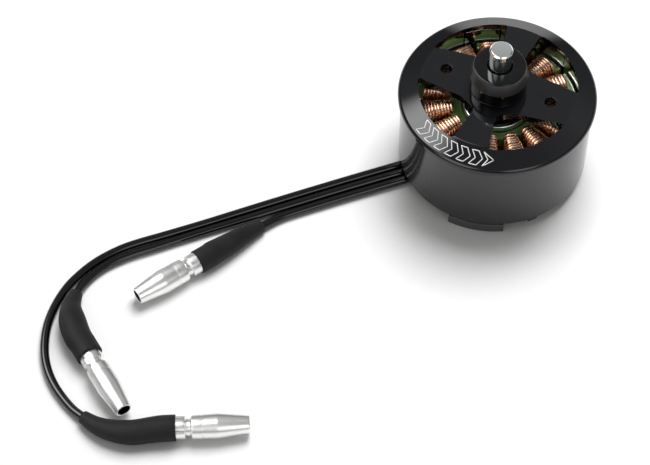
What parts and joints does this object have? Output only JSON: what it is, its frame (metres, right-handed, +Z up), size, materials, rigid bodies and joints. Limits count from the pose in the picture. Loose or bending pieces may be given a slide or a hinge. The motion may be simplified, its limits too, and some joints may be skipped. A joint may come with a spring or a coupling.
{
  "type": "brushless outrunner motor",
  "caption": "Open-topped brushless outrunner motor: wound stator inside a spinning magnet bell, with a shaft collar and flexible leads ending in bullet connectors.",
  "frame": {"origin": "centre of the base's underside, on the surface that the motor stands on", "axes": "+Z up along the shaft; the leads leave towards -X and -Y"},
  "size_m": [0.0931, 0.0834, 0.0304],
  "materials": {
    "black_anodised": "glossy black anodised",
    "bell_wall": "glossy black plating on steel",
    "shaft_steel": "ground and polished",
    "bearing_steel": "polished",
    "magnet_nickel": "nickel plated, mirror bright",
    "green_epoxy": "satin insulating coat over stacked steel sheets",
    "copper_enamel": "enamelled copper wire",
    "bare_aluminium": "machined",
    "black_rubber": "matte",
    "black_silicone": "satin flexible insulation",
    "shrink_sleeve": "matte heat-shrink sleeve",
    "bullet_nickel": "satin nickel plating"
  },
  "bodies": {
    "stator": {"base_mount": "black_anodised", "bearing_tube": "bare_aluminium", "coil_01": "copper_enamel", "coil_02": "copper_enamel", "coil_03": "copper_enamel", "coil_04": "copper_enamel", "coil_05": "copper_enamel", "coil_06": "copper_enamel", "coil_07": "copper_enamel", "coil_08": "copper_enamel", "coil_09": "copper_enamel", "coil_10": "copper_enamel", "coil_11": "copper_enamel", "coil_12": "copper_enamel", "coil_13": "copper_enamel", "coil_14": "copper_enamel", "coil_15": "copper_enamel", "connector_a": "bullet_nickel", "connector_b": "bullet_nickel", "connector_c": "bullet_nickel", "lead_a": "black_silicone", "lead_b": "black_silicone", "lead_c": "black_silicone", "lead_grommet": "black_rubber", "lower_bearing_outer_race": "bearing_steel", "sleeve_a": "shrink_sleeve", "sleeve_b": "shrink_sleeve", "sleeve_c": "shrink_sleeve", "stator_core": "green_epoxy", "upper_bearing_outer_race": "bearing_steel"},
    "rotor": {"collar_grub_screw": "shaft_steel", "flux_ring": "bell_wall", "lower_bearing_inner_race": "bearing_steel", "magnet_01": "magnet_nickel", "magnet_02": "magnet_nickel", "magnet_03": "magnet_nickel", "magnet_04": "magnet_nickel", "magnet_05": "magnet_nickel", "magnet_06": "magnet_nickel", "magnet_07": "magnet_nickel", "magnet_08": "magnet_nickel", "magnet_09": "magnet_nickel", "magnet_10": "magnet_nickel", "magnet_11": "magnet_nickel", "magnet_12": "magnet_nickel", "magnet_13": "magnet_nickel", "magnet_14": "magnet_nickel", "retaining_clip": "shaft_steel", "rotor_cap": "black_anodised", "shaft": "shaft_steel", "shaft_collar": "black_anodised", "shim_washer": "bearing_steel", "upper_bearing_inner_race": "bearing_steel"},
    "lower_ball_cage": {"lower_bearing_ball_cage": "bearing_steel"},
    "upper_ball_cage": {"upper_bearing_ball_cage": "bearing_steel"}
  },
  "joints": [
    {"name": "rotor_spin", "type": "hinge", "parent": "stator", "child": "rotor", "pos_m": [0, 0, 0.012], "axis": [0, 0, 1], "continuous": true},
    {"name": "lower_cage_spin", "type": "hinge", "parent": "stator", "child": "lower_ball_cage", "pos_m": [0, 0, 0.0052], "axis": [0, 0, 1], "continuous": true},
    {"name": "upper_cage_spin", "type": "hinge", "parent": "stator", "child": "upper_ball_cage", "pos_m": [0, 0, 0.014], "axis": [0, 0, 1], "continuous": true}
  ],
  "couplings": [
    {"joint": "lower_cage_spin", "follows": "rotor_spin", "ratio": 0.4},
    {"joint": "upper_cage_spin", "follows": "rotor_spin", "ratio": 0.4}
  ]
}
